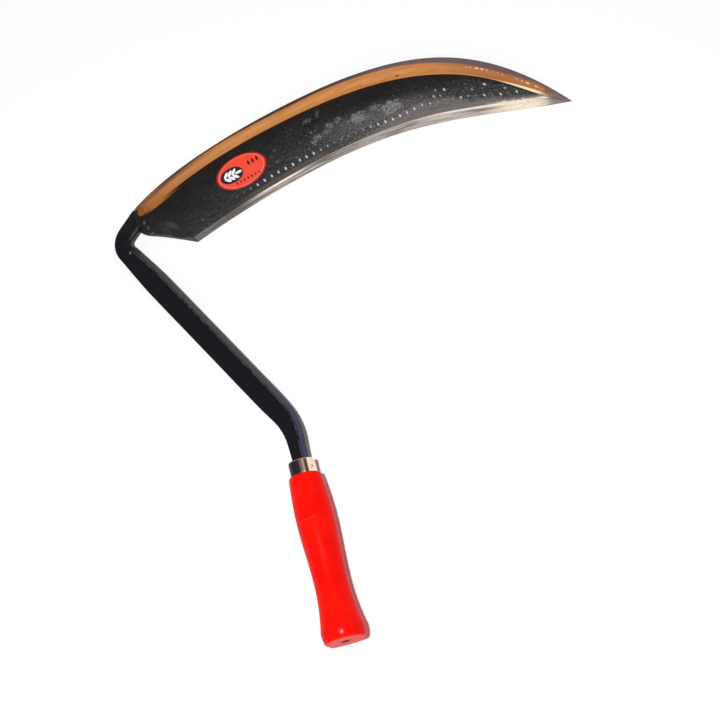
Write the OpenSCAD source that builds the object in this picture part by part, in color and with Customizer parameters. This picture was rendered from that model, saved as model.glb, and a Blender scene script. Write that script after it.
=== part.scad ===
// Forged hand sickle with a turned wooden handle
//
// The handle lies along +Y with the middle of its butt at the origin.  The
// shank leaves the ferrule, cranks to the left, hooks round and carries the
// blade, which reaches out toward +X.  +Z points up: laid down, the tool rests
// on the flare of the handle, the heel corner and the tip of the blade.

/* [Handle] */
// Length from the butt to the shoulder that the ferrule stands on
handle_len = 128.5; // [115:0.5:160]
// Diameter of the shoulder beside the ferrule
shoulder_d = 24.6; // [22.6:0.2:27]
// Greatest diameter of the front swell
swell_d = 29; // [27:0.5:33]
// Distance of the front swell from the shoulder
swell_at = 34.5; // [26:0.5:40]
// Diameter of the waist
waist_d = 25.7; // [22:0.1:27]
// Distance of the waist from the butt
waist_at = 46; // [38:1:52]
// Greatest diameter of the flare at the butt
flare_d = 33.6; // [29:0.2:38]
// Distance of the flare from the butt
flare_at = 8; // [5:0.5:10]
// Diameter of the flat face of the butt
butt_d = 29; // [24:0.5:29]
// Radius of the shoulder's round
shoulder_round = 1.6; // [1:0.1:2]
// Depth of the turned ring round the swell
ring_depth = 0.5; // [0.3:0.1:1]
// Width of the turned ring round the swell
ring_w = 1.2; // [0.8:0.1:2]
// Diameter of the pilot bore in the butt
bore_d = 5; // [4.4:0.1:6]

/* [Ferrule] */
// Outer diameter of the ferrule
ferrule_d = 20; // [19:0.1:22]
// Length of the ferrule
ferrule_len = 11.5; // [8:0.5:16]
// Thickness of its sheet
ferrule_t = 0.8; // [0.5:0.1:1]
// Width of its open seam
seam_w = 0.3; // [0.2:0.05:0.5]
// Seam's turn from the top toward the blade side
seam_turn = 28; // [0:1:30]
// Nail's turn from the top toward the blade side
nail_turn = 54; // [44:1:80]
// Distance of the nail from the shoulder
nail_at = 4.3; // [3.5:0.1:5]
// Diameter of the head of the nail
nail_head_d = 2.4; // [1.8:0.1:3]
// Diameter of the stem of the nail
nail_d = 1.2; // [1:0.1:1.4]

/* [Shank] */
// Width of the bar at the ferrule
root_w = 11; // [9.5:0.1:11.6]
// Thickness of the bar at the ferrule
root_h = 8; // [7.8:0.1:9]
// Width of the bar between its bends
bar_w = 17.8; // [14:0.2:20]
// Thickness of the bar between its bends
bar_h = 9; // [7:0.2:10]
// Width of the bar round the hook
hook_w = 13.4; // [12:0.2:17]
// Length over which the bar narrows before the hook
hook_taper = 40; // [20:1:60]
// Width of the bar where it meets the blade
end_w = 13.4; // [13:0.2:18]
// Thickness of the bar where it meets the blade
end_h = 7.6; // [7:0.1:9]
// Width of the broken corners along the bar
bar_edge = 1.2; // [0.6:0.1:1.8]
// Length over which the bar widens from the ferrule
bar_taper = 60; // [40:1:80]
// Twist of the bar, which lifts its side toward the blade
bar_twist = 30; // [10:1:40]
// Distance of the crank's corner from the ferrule's mouth
crank_at = 30.2; // [27:0.1:45]
// Angle of the crank
crank_angle = 28.6; // [20:0.1:35]
// Bend radius of the crank
crank_r = 54; // [30:1:60]
// Length from the crank's corner to the hook's corner
shank_len = 204.8; // [150:0.2:240]
// Angle through which the hook turns
hook_angle = 76.8; // [70:0.2:85]
// Bend radius of the hook, to the middle of the bar
hook_r = 12.8; // [11:0.1:18]
// Straight length between the hook and the blade
end_len = 12.8; // [8.5:0.1:16]
// Length of the tang, from the bar's shoulder to its end
tang_len = 95; // [60:1:100]
// Side of the square tang at the shoulder
tang_w = 7.4; // [6:0.1:7.6]
// Side of the square tang at its end
tang_end_w = 3.4; // [2.8:0.1:3.8]

/* [Blade] */
// Length from the heel corner to the tip
blade_len = 308; // [260:1:340]
// Distance from the joint with the bar to the heel corner
heel_len = 39.8; // [34:0.2:50]
// Width of the blade at the joint
neck_w = 18.4; // [17:0.2:22]
// Height of the joint's inner end over the line from heel corner to tip
neck_rise = 22.8; // [18:0.2:26]
// Bulge of the heel line beside the joint
heel_bulge = 1.2; // [0:0.1:1.6]
// Height of the back's crown over the line from heel corner to tip
back_rise = 81.7; // [74:0.1:90]
// Distance of the back's crown from the heel corner
back_crown = 148; // [125:1:160]
// Slope of the back where it leaves the joint
back_slope = 32; // [26:0.5:38]
// Slope of the back at the tip
back_tip_slope = 54.1; // [45:0.1:60]
// Height of the cutting edge's crown over the line from heel corner to tip
edge_rise = 25.6; // [18:0.2:32]
// Distance of the cutting edge's crown from the heel corner
edge_crown = 155; // [135:1:165]
// Slope of the cutting edge at the heel corner
edge_slope = 16.4; // [8:0.2:20]
// Slope of the cutting edge at the tip
edge_tip_slope = 10.5; // [4:0.5:14]
// Height of the rib along the back
rib_h = 5; // [4:0.1:6]
// Width of the rib's flat top at the heel
rib_w_heel = 2.2; // [1.2:0.1:3]
// Full width of the rib's flat top
rib_w = 6; // [4:0.1:7]
// Width of the hollow flank between the rib and the web
flank_w = 8.3; // [6:0.1:11]
// Depth of the hollow of the flank
flank_hollow = 0.5; // [0.2:0.05:0.8]
// Thickness of the web beside the flank
web_t = 1.7; // [1.3:0.1:2.2]
// Thickness of the web where the ground edge starts
web_edge_t = 1.2; // [0.9:0.1:1.3]
// Rise of the dished web
dish = 2; // [0.6:0.1:2.6]
// Width of the ground edge at the heel
bevel_w_heel = 3.2; // [2:0.1:5]
// Full width of the ground edge
bevel_w = 7.4; // [4:0.1:9]
// Distance from the heel corner where the rib and the ground edge start to widen
widen_from = 40; // [0:5:80]
// Distance from the heel corner where they reach their full width
widen_to = 220; // [150:5:260]
// Width of the blade under which its section shrinks toward the tip
shrink_w = 21.7; // [15:0.1:30]
// Thickness left at the cutting edge
edge_t = 0.25; // [0.15:0.05:0.4]
// Thickness of the blade at the joint
neck_t = 4; // [3.4:0.1:4.4]
// Tilt of the blade, which lifts its back when the tool lies down
blade_tilt = 3; // [2:0.25:6]
// Turn of the blade's line from the end of the bar
blade_lead = 37.6; // [30:0.2:42]

/* [Weld] */
// Leg of the weld bead
weld_leg = 2.6; // [1.8:0.1:3]
// Spacing of the ripples of the bead
weld_pitch = 2.2; // [1.6:0.1:3]

/* [Label] */
// Length of the oval label
label_w = 43; // [34:0.5:46]
// Width of the oval label
label_h = 26; // [20:0.5:27]
// Thickness of the label
label_t = 0.25; // [0.15:0.05:0.4]
// Distance of the label's middle from the heel corner, along the blade
label_at = 50; // [45:1:120]
// Turn of the label from the line of heel corner and tip
label_turn = 8.5; // [0:0.1:12]

/* [Fits] */
// Clearance between the handle's neck and the ferrule
ferrule_gap = 0.05; // [0.02:0.01:0.15]
// Clearance of the tang in its socket
tang_gap = 0.1; // [0.05:0.01:0.2]
// Gap between the bar and the mouth of the ferrule
mouth_gap = 0.6; // [0.3:0.1:1.2]
// Clearance of the nail in its hole
nail_gap = 0.05; // [0.02:0.01:0.1]
// Film of glue under the label
glue_t = 0.05; // [0.04:0.01:0.08]
// Clearance under the bar when the tool lies down
floor_gap = 0.5; // [0.3:0.1:2]

/* [Hidden] */
turned_fn = 96;
small_fn = 32;

// Heights and stations along the tool
floor_z = -flare_d / 2;
mouth_y = handle_len + ferrule_len;
neck_y = mouth_y - ferrule_t - ferrule_gap;
neck_r = ferrule_d / 2 - ferrule_t - ferrule_gap;
tang_tip_y = neck_y - tang_len;
socket_end_y = tang_tip_y - 1;
root_reach = norm([root_w / 2, root_h / 2 - bar_edge]);
mouth_r = min(root_reach + mouth_gap, neck_r - 0.4);
nail_y = handle_len + nail_at;
nail_end_r = tang_w / sqrt(2) + tang_gap + 0.4;

// Small helpers
function mix(a, b, t) = a + (b - a) * t;
function clamp01(t) = min(1, max(0, t));
function ease(t) = let (c = clamp01(t)) c * c * (3 - 2 * c);
function ramp(s, s0, s1) = clamp01((s - s0) / (s1 - s0));
function dir(a) = [cos(a), sin(a)];
function flat(lists) = [for (l = lists) for (p = l) p];
function arc_pts(c, r, a0, a1, n) = [for (i = [0:n]) c + r * dir(mix(a0, a1, i / n))];
function bezier(a, b, c, d, t) =
    pow(1 - t, 3) * a + 3 * pow(1 - t, 2) * t * b + 3 * (1 - t) * t * t * c + pow(t, 3) * d;

// Skin over rings of equal count, closed at both ends round a middle point;
// the last ring may close on a tip instead
function middle(ring) = [for (i = [0:2]) let (c = [for (p = ring) p[i]]) (min(c) + max(c)) / 2];
module loft(rings, tip = undef) {
    n = len(rings[0]);
    m = len(rings);
    sides = [for (i = [0:m - 2]) for (j = [0:n - 1])
        let (a = i * n + j, b = i * n + (j + 1) % n)
        each [[a, b, b + n], [a, b + n, a + n]]];
    start = [for (j = [0:n - 1]) [(j + 1) % n, j, m * n]];
    end = [for (j = [0:n - 1]) [(m - 1) * n + j, (m - 1) * n + (j + 1) % n, m * n + 1]];
    ends = [middle(rings[0]), is_undef(tip) ? middle(rings[m - 1]) : tip];
    polyhedron(concat(flat(rings), ends), concat(sides, start, end), convexity = 8);
}

// Course of the bar: straight, crank, straight, hook, straight
crank_t = crank_r * tan(crank_angle / 2);
hook_t = hook_r * tan(hook_angle / 2);
s_crank = mouth_y + crank_at - crank_t - neck_y;
s_bar = s_crank + crank_r * crank_angle * PI / 180;
s_hook = s_bar + shank_len - crank_t - hook_t;
s_lead = s_hook + hook_r * hook_angle * PI / 180;
mid_hook = (s_hook + s_lead) / 2;
s_end = s_lead + end_len;
bar_dir = 90 + crank_angle;
lead_dir = bar_dir - hook_angle;
crank_c = [-crank_r, neck_y + s_crank];
bar_0 = crank_c + crank_r * dir(crank_angle);
hook_0 = bar_0 + (s_hook - s_bar) * dir(bar_dir);
hook_c = hook_0 + hook_r * dir(bar_dir - 90);
lead_0 = hook_c + hook_r * dir(lead_dir + 90);
lead_1 = lead_0 + end_len * dir(lead_dir);

function heading(s) =
    s < s_crank ? 90
    : s < s_bar ? 90 + (s - s_crank) / crank_r * 180 / PI
    : s < s_hook ? bar_dir
    : s < s_lead ? bar_dir - (s - s_hook) / hook_r * 180 / PI
    : lead_dir;
function course(s) =
    s < s_crank ? [0, neck_y + s]
    : s < s_bar ? crank_c + crank_r * dir(heading(s) - 90)
    : s < s_hook ? bar_0 + (s - s_bar) * dir(bar_dir)
    : s < s_lead ? hook_c + hook_r * dir(heading(s) + 90)
    : lead_0 + (s - s_lead) * dir(lead_dir);

// Place of the blade: its heel corner and tip lie on the ground
chord_dir = lead_dir - blade_lead;
neck_mid = neck_rise + neck_w / 2;
neck_under = 0.4;
heel_xy = lead_1 - rot2([-heel_len, neck_mid * cos(blade_tilt)], chord_dir);
function rot2(p, a) = [p[0] * cos(a) - p[1] * sin(a), p[0] * sin(a) + p[1] * cos(a)];

module place_blade()
    translate([heel_xy[0], heel_xy[1], floor_z]) rotate([0, 0, chord_dir]) rotate([blade_tilt, 0, 0])
        children();

// Sections of the bar
bar_half_rise = bar_w / 2 * sin(bar_twist) + bar_h / 2 * cos(bar_twist);
z_hook = min(0, floor_z + bar_half_rise + floor_gap);
z_end = floor_z + neck_mid * sin(blade_tilt) + (neck_under + end_h / 2) * cos(blade_tilt);

function bar_z(s) = mix(z_hook * ramp(s, s_crank, s_hook), z_end, ease(ramp(s, s_hook, s_lead)));
function bar_roll(s) =
    mix(bar_twist, -blade_tilt, ease(ramp(s, s_hook - hook_r / 2, s_lead - hook_r / 3)));
function bar_width(s) =
    s > mid_hook ? mix(hook_w, end_w, ease(ramp(s, mid_hook, s_end)))
    : mix(mix(root_w, bar_w, ease(s / bar_taper)), hook_w, ease(ramp(s, s_hook - hook_taper, mid_hook)));
function bar_height(s) =
    mix(mix(root_h, bar_h, ease(s / bar_taper)), end_h, ease(ramp(s, s_hook, s_end)));

// Rectangle with broken corners, seen along the bar from the handle
function bar_section(w, h, c) = [
    [w / 2, -h / 2 + c], [w / 2, h / 2 - c], [w / 2 - c, h / 2], [-w / 2 + c, h / 2],
    [-w / 2, h / 2 - c], [-w / 2, -h / 2 + c], [-w / 2 + c, -h / 2], [w / 2 - c, -h / 2]];

function section_at(section, p, head, z, roll) =
    let (side = dir(head - 90))
    [for (q = section)
        let (across = q[0] * cos(roll) - q[1] * sin(roll), lift = q[0] * sin(roll) + q[1] * cos(roll))
        [p[0] + across * side[0], p[1] + across * side[1], z + lift]];

function bar_ring(s) =
    section_at(bar_section(bar_width(s), bar_height(s), bar_edge),
               course(s), heading(s), bar_z(s), bar_roll(s));

// The last ring is carried on along the bar to the plane of the joint
function onto_joint(p) =
    let (along = dir(lead_dir), across = dir(chord_dir),
         run = (-heel_len - (p[0] - heel_xy[0]) * across[0] - (p[1] - heel_xy[1]) * across[1])
             / (along * across))
    [p[0] + run * along[0], p[1] + run * along[1], p[2]];

function tang_ring(y, grow) =
    let (side = mix(tang_end_w, tang_w, (y - tang_tip_y) / tang_len) + 2 * grow)
    section_at(bar_section(side, side, 0.4), [0, y], 90, 0, bar_twist);

function steps(a, b, n) = [for (i = [0:n - 1]) mix(a, b, i / n)];

module shank() {
    stations = concat(steps(0, s_crank, 6), steps(s_crank, s_bar, 10), steps(s_bar, s_hook, 24),
                      steps(s_hook, s_lead, 24), [s_lead]);
    rings = concat([tang_ring(tang_tip_y, 0), tang_ring(neck_y, 0)],
                   [for (s = stations) bar_ring(s)],
                   [[for (p = bar_ring(s_end)) onto_joint(p)]]);
    color([0.10, 0.105, 0.125]) loft(rings);
}

// Outline of the blade, in its own plane: heel corner at 0, tip on +X
tip_pt = [blade_len, 0];
back_0 = [-heel_len, neck_rise + neck_w];
back_c = [back_crown, back_rise];
inner_0 = [-heel_len, neck_rise];
edge_c = [edge_crown, edge_rise];
back_heel = 0.15;
// Fullness of each end of the two curves, as a share of their span
back_full = [0.28, 0.23, 0.42, 0.5];
edge_full = [0.27, 0.3, 0.4, 0.37];

function back_pt(t) =
    t < 1
    ? let (span = back_crown + heel_len)
      bezier(back_0, back_0 + back_full[0] * span * dir(back_slope),
             back_c - [back_full[1] * span, 0], back_c, t)
    : let (span = blade_len - back_crown)
      bezier(back_c, back_c + [back_full[2] * span, 0],
             tip_pt - back_full[3] * span * dir(-back_tip_slope), tip_pt, t - 1);
function edge_pt(t) =
    t < 1
    ? bezier([0, 0], edge_full[0] * edge_crown * dir(edge_slope),
             edge_c - [edge_full[1] * edge_crown, 0], edge_c, t)
    : let (span = blade_len - edge_crown)
      bezier(edge_c, edge_c + [edge_full[2] * span, 0],
             tip_pt - edge_full[3] * span * dir(-edge_tip_slope), tip_pt, t - 1);

// Station q runs from -1 at the joint through 0 at the heel corner to 1 at the tip
function outer_pt(q) = q < 0 ? back_pt(back_heel * (1 + q)) : back_pt(mix(back_heel, 2, q));
function inner_pt(q) = q < 0 ? -q * inner_0 - [0, heel_bulge * sin(180 * pow(-q, 5))] : edge_pt(2 * q);

// Section of the blade, across from the back to the edge
// Everything shrinks together toward the tip
function shrink(reach) = reach / pow(pow(reach, 3) + pow(shrink_w, 3), 1 / 3);
function widened(narrow, wide, p) = mix(narrow, wide, ramp(p[0], widen_from, widen_to));
function thin(reach) = 0.25 + 0.75 * shrink(reach);
function rib_at(q, reach) = shrink(reach) * widened(rib_w_heel, rib_w, outer_pt(q));
function flank_at(q, reach) = rib_at(q, reach) + shrink(reach) * flank_w;
function bevel_at(q, reach) =
    reach - shrink(reach) * widened(bevel_w_heel, bevel_w, inner_pt(q)) * mix(0.2, 1, sharp(q));
function sharp(q) = ease((q + 0.3) / 0.3);
function under_w(s, reach) = dish * thin(reach) * sin(180 * clamp01(s / reach));
function web_w(q, s, reach) =
    under_w(s, reach) + thin(reach)
        * mix(web_t, web_edge_t, ramp(s, flank_at(q, reach), bevel_at(q, reach)));

function blade_section(q, reach) =
    let (k = shrink(reach), th = thin(reach), rib = rib_at(q, reach), fl = flank_at(q, reach),
         bv = bevel_at(q, reach), top = rib_h * th, crease = top - 0.5 * th,
         foot = web_w(q, fl, reach), bend = 0.5 * k,
         end_top = mix(0.9 * web_edge_t, edge_t, sharp(q)),
         under_rib = 0.9 * th)
    concat(
        // top of the rib, with its edges broken
        [[0, top - 0.7 * th], [0.6 * k, top], [rib - 0.4 * k, top], [rib + 0.3 * k, crease]],
        // hollow flank
        [for (i = [1:4]) let (f = i / 5)
            [mix(rib, fl, f), mix(crease, foot, f) - flank_hollow * k * sin(180 * f)]],
        // web and ground edge
        [for (i = [0:6]) let (s = mix(fl, bv, i / 6)) [s, web_w(q, s, reach)]],
        [[mix(bv, reach, 0.5), mix(web_w(q, bv, reach), end_top, 0.53)], [reach, end_top]],
        // underside
        [[reach, 0], [bv, under_w(bv, reach)]],
        [for (i = [1:4]) let (s = mix(bv, fl, i / 4)) [s, under_w(s, reach)]],
        [[mix(fl, rib, 0.5), mix(under_w(fl, reach), under_rib, 0.4)],
         [rib, under_rib], [0.6 * k, under_rib], [0, under_rib + 0.6 * th]]);

// Flat tongue at the joint, which fades into the ribbed section
under_count = 10;
function tongue(q) = 1 - ease((q + 0.86) / 0.5);
function blade_ring(q) =
    let (a = outer_pt(q), b = inner_pt(q), reach = norm(b - a), across = (b - a) / reach,
         sec = blade_section(q, reach), n = len(sec), f = tongue(q))
    [for (i = [n - 1:-1:0])
        let (flat_w = i < n - under_count ? neck_under + neck_t : neck_under,
             p = a + sec[i][0] * across)
        [p[0], p[1], mix(sec[i][1], flat_w, f)]];

module blade() {
    heel = [for (i = [0:14]) i / 15 - 1];
    run = [for (i = [0:59]) i / 60.5];
    tip_ring = 0.992;
    color([0.22, 0.22, 0.225]) place_blade()
        loft([for (q = concat(heel, run, [tip_ring])) blade_ring(q)],
             [tip_pt[0], tip_pt[1], 0.3]);
}

// Weld bead in the corner between the end of the bar and the tongue
module weld() {
    length = neck_w - 3;
    count = max(3, round(length / weld_pitch));
    rings = [for (i = [0:4 * count])
        let (t = i / (4 * count), ends = min(1, 0.35 + 3 * min(t, 1 - t)),
             leg = weld_leg * ends * (0.86 + 0.14 * abs(sin(180 * t * count))),
             v = neck_rise + 1.5 + t * length)
        [for (p = [[leg, 0], [0.8 * leg, 0.36 * leg], [0.64 * leg, 0.64 * leg],
                   [0.36 * leg, 0.8 * leg], [0, leg], [0, 0]])
            [p[0] - heel_len, v, p[1] + neck_under + neck_t]]];
    color([0.13, 0.13, 0.14]) place_blade() loft(rings);
}

// Oval label, laid on the web of the blade
function side_of(q, p) = let (a = outer_pt(q), b = inner_pt(q)) cross(b - a, p - a);
function station_of(p, lo = 0, hi = 0.9, n = 16) =
    let (mid = (lo + hi) / 2)
    n == 0 ? mid
    : side_of(mid, p) > 0 ? station_of(p, mid, hi, n - 1)
    : station_of(p, lo, mid, n - 1);
function skin_w(p) =
    let (q = station_of(p), a = outer_pt(q), b = inner_pt(q)) web_w(q, norm(p - a), norm(b - a));
label_q = station_of([label_at, (back_rise + edge_rise) / 2]);
label_c = let (a = outer_pt(label_q), b = inner_pt(label_q), reach = norm(b - a))
    mix(a, b, mix(flank_at(label_q, reach), bevel_at(label_q, reach), 0.445) / reach);

module label() {
    around = 40;
    spread = [0.25, 0.5, 0.75, 1];
    oval = [for (r = spread) for (j = [0:around - 1])
        let (a = 360 * j / around)
        label_c + rot2([r * label_w / 2 * cos(a), r * label_h / 2 * sin(a)], label_turn)];
    plan = concat([label_c], oval);
    n = len(plan);
    low = [for (p = plan) [p[0], p[1], skin_w(p) + glue_t]];
    high = [for (p = low) p + [0, 0, label_t]];
    centre = [for (j = [1:around]) [0, j % around + 1, j]];
    rows = [for (r = [0:len(spread) - 2]) for (j = [0:around - 1])
        let (a = 1 + r * around + j, b = 1 + r * around + (j + 1) % around)
        each [[a, b, b + around], [a, b + around, a + around]]];
    top = [for (f = concat(centre, rows)) [for (v = f) v + n]];
    under = [for (f = concat(centre, rows)) [f[2], f[1], f[0]]];
    first = n - around;
    rim = [for (j = [0:around - 1])
        let (a = first + j, b = first + (j + 1) % around)
        each [[a, b + n, b], [a, a + n, b + n]]];
    color([0.86, 0.2, 0.14]) place_blade()
        polyhedron(concat(low, high), concat(top, under, rim), convexity = 4);
}

// Turned handle
// Outline from the butt to the shoulder, as radius and distance from the butt
function swell_profile() = [for (i = [0:8])
    let (d = swell_at * (1 - i / 8))
    [mix(shoulder_d, swell_d, sin(90 * d / swell_at)) / 2, handle_len - d]];
function waist_profile() =
    let (y1 = handle_len - swell_at)
    [for (i = [0:11])
        let (t = i / 12)
        [mix(waist_d, swell_d, (1 - cos(180 * t)) / 2) / 2, mix(waist_at, y1, t)]];
function flare_profile() = [for (i = [0:9])
    let (t = 1 - i / 10)
    [mix(waist_d, flare_d, t * t) / 2, mix(waist_at, flare_at + 1.5, t)]];
function butt_profile() = [for (i = [0:8])
    let (a = 90 * i / 8)
    [mix(butt_d, flare_d, sin(a)) / 2, flare_at * (1 - cos(a))]];

module handle_solid() {
    shoulder = arc_pts([shoulder_d / 2 - shoulder_round, handle_len - shoulder_round],
                       shoulder_round, 10, 90, 4);
    body = [for (p = swell_profile()) if (p[1] < handle_len - shoulder_round) p];
    rotate([-90, 0, 0]) rotate_extrude($fn = turned_fn)
        polygon(concat([[0, 0]], butt_profile(), flare_profile(), waist_profile(), body, shoulder,
                       [[neck_r, handle_len], [neck_r, neck_y - 0.6],
                        [neck_r - 0.6, neck_y], [0, neck_y]]));
}

module ring_groove() {
    y = handle_len - swell_at;
    rotate([-90, 0, 0]) rotate_extrude($fn = turned_fn)
        polygon([[swell_d / 2 - ring_depth, y - ring_w / 6], [swell_d / 2 - ring_depth, y + ring_w / 6],
                 [swell_d / 2 + 0.5, y + ring_w / 2], [swell_d / 2 + 0.5, y - ring_w / 2]]);
}

module handle() {
    color([0.93, 0.1, 0.05]) difference() {
        handle_solid();
        ring_groove();
        // pilot bore, drilled in from the butt up to the end of the tang
        translate([0, -1, 0]) rotate([-90, 0, 0])
            cylinder(d = bore_d, h = socket_end_y + 1, $fn = small_fn);
        // tapered socket of the tang
        loft([tang_ring(socket_end_y - 0.01, tang_gap), tang_ring(neck_y + 1, tang_gap)]);
        // hole of the nail
        at_nail() cylinder(d = nail_d + 2 * nail_gap, h = ferrule_d, $fn = small_fn);
    }
}

// Ferrule and its nail
module at_nail()
    translate([0, nail_y, 0]) rotate([0, nail_turn, 0]) translate([0, 0, nail_end_r]) children();

module ferrule() {
    r = ferrule_d / 2;
    bore_r = r - ferrule_t;
    outline = concat([[bore_r, handle_len], [r - 0.2, handle_len], [r, handle_len + 0.2]],
                     arc_pts([r - 1.2, mouth_y - 1.2], 1.2, 0, 90, 6),
                     [[mouth_r + 0.2, mouth_y], [mouth_r, mouth_y - 0.2], [mouth_r, mouth_y - ferrule_t]],
                     arc_pts([bore_r - 0.4, mouth_y - ferrule_t - 0.4], 0.4, 90, 0, 4));
    color([0.72, 0.66, 0.6]) difference() {
        rotate([-90, 0, 0]) rotate_extrude($fn = turned_fn) polygon(outline);
        rotate([0, seam_turn, 0]) translate([-seam_w / 2, handle_len - 1, 0])
            cube([seam_w, ferrule_len + 2, ferrule_d]);
        at_nail() cylinder(d = nail_d + 2 * nail_gap, h = ferrule_d, $fn = small_fn);
    }
}

module nail() {
    length = ferrule_d / 2 - nail_end_r;
    head_r = nail_head_d / 2;
    head_h = 0.3 * nail_head_d;
    color([0.35, 0.32, 0.3]) at_nail() rotate_extrude($fn = small_fn)
        polygon(concat([[0, 0], [nail_d / 2, min(1.4, length / 2)], [nail_d / 2, length], [head_r, length]],
                       [for (i = [0:5])
                           let (a = 18 * i)
                           [head_r * cos(a), length + 0.1 + head_h * sin(a)]]));
}

blade();
shank();
weld();
ferrule();
nail();
handle();
label();
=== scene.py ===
"""Forged hand sickle: its looks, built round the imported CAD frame.

Metres, in the part's own frame: the handle along +Y with its butt at the
origin, the blade out toward +X, the ground below at -Z.
"""
import math

import bmesh
import bpy
from mathutils import Matrix, Vector, noise


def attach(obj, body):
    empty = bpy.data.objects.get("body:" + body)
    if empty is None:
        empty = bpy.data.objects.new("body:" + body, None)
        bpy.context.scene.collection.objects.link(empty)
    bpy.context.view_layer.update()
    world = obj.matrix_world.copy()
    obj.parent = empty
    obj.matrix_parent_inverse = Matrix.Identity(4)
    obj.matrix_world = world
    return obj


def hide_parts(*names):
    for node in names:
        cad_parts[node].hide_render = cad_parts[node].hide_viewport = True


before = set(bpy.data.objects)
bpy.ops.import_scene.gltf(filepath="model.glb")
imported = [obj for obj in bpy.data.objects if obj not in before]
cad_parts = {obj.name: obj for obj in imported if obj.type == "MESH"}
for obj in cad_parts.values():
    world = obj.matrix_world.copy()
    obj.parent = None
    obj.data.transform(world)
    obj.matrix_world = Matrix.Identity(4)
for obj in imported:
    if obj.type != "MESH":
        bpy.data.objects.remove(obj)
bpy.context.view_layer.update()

MM = 0.001

# Handle, millimetres, as the part's source has them
HANDLE_LEN, SHOULDER_D, SHOULDER_ROUND, SWELL_D, SWELL_AT = 128.5, 24.6, 1.6, 29, 34.5
WAIST_D, WAIST_AT, FLARE_D, FLARE_AT, BUTT_D = 25.7, 46, 33.6, 8, 29
RING_DEPTH, RING_W, BORE_D = 0.5, 1.2, 5

# Ferrule and nail
FERRULE_D, FERRULE_LEN, FERRULE_T = 20, 11.5, 0.8
SEAM_W, SEAM_TURN, NAIL_TURN, NAIL_AT, NAIL_HEAD_D, NAIL_D = 0.3, 28, 54, 4.3, 2.4, 1.2
FERRULE_GAP, TANG_GAP, MOUTH_GAP = 0.05, 0.1, 0.6

# Shank
ROOT_W, ROOT_H, BAR_W, BAR_H, HOOK_W, END_W, END_H = 11, 8, 17.8, 9, 13.4, 13.4, 7.6
BAR_EDGE, BAR_TAPER, HOOK_TAPER, BAR_TWIST = 1.2, 60, 40, 30
CRANK_AT, CRANK_ANGLE, CRANK_R = 30.2, 28.6, 54
SHANK_LEN, HOOK_ANGLE, HOOK_R, END_LEN = 204.8, 76.8, 12.8, 12.8
TANG_LEN, TANG_W, TANG_END_W = 95, 7.4, 3.4

# Blade
BLADE_LEN, HEEL_LEN, NECK_W, NECK_RISE, HEEL_BULGE = 308, 39.8, 18.4, 22.8, 1.2
BACK_RISE, BACK_CROWN, BACK_SLOPE, BACK_TIP_SLOPE = 81.7, 148, 32, 54.1
EDGE_RISE, EDGE_CROWN, EDGE_SLOPE, EDGE_TIP_SLOPE = 25.6, 155, 16.4, 10.5
BACK_FULL, EDGE_FULL, BACK_HEEL = (0.28, 0.23, 0.42, 0.5), (0.27, 0.3, 0.4, 0.37), 0.15
RIB_H, RIB_W_HEEL, RIB_W, FLANK_W, FLANK_HOLLOW = 5, 2.2, 6, 8.3, 0.5
WEB_T, WEB_EDGE_T, DISH, BEVEL_W_HEEL, BEVEL_W, EDGE_T = 1.7, 1.2, 2, 3.2, 7.4, 0.25
WIDEN_FROM, WIDEN_TO, SHRINK_W = 40, 220, 21.7
NECK_T, NECK_UNDER, BLADE_TILT, BLADE_LEAD = 4, 0.4, 3, 37.6
WELD_LEG, WELD_PITCH = 2.6, 2.2

# Label
LABEL_W, LABEL_H, LABEL_T, LABEL_AT, LABEL_TURN, GLUE_T = 43, 26, 0.25, 50, 8.5, 0.05
LABEL_ACROSS, FIELD_AT = 0.445, -0.38

FLOOR_GAP = 0.5
FLOOR_Z = -FLARE_D / 2
MOUTH_Y = HANDLE_LEN + FERRULE_LEN
NECK_Y = MOUTH_Y - FERRULE_T - FERRULE_GAP
NECK_R = FERRULE_D / 2 - FERRULE_T - FERRULE_GAP
TANG_TIP_Y = NECK_Y - TANG_LEN
BORE_END_Y = TANG_TIP_Y - 1


# Curves
def mix(a, b, t):
    return a + (b - a) * t


def ramp(t, start, end):
    return min(1.0, max(0.0, (t - start) / (end - start)))


def ease(t):
    t = min(1.0, max(0.0, t))
    return t * t * (3 - 2 * t)


def spread(start, end, count):
    """Evenly spread places from start up to, but without, end."""
    return [mix(start, end, i / count) for i in range(count)]


def rounding(share):
    """A quarter circle's fall from 1 at 0 to 0 at 1."""
    return 1 - math.sqrt(1 - (1 - share) ** 2)


def toward(degrees):
    a = math.radians(degrees)
    return Vector((math.cos(a), math.sin(a)))


def turned(p, degrees):
    c, s = toward(degrees)
    return Vector((p[0] * c - p[1] * s, p[0] * s + p[1] * c))


def bezier(a, b, c, d, t):
    u = 1 - t
    return u ** 3 * a + 3 * u * u * t * b + 3 * u * t * t * c + t ** 3 * d


def arc(centre, radius, start, end, count):
    angles = [math.radians(a) for a in spread(start, end, count) + [end]]
    return [(centre[0] + radius * math.cos(a), centre[1] + radius * math.sin(a)) for a in angles]


def chance(*key):
    """A fixed number from 0 to 1 for a mark."""
    return 0.5 + 0.5 * noise.cell(Vector([7.31 * k + 0.37 for k in (*key, 0, 0)][:3]))


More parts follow.
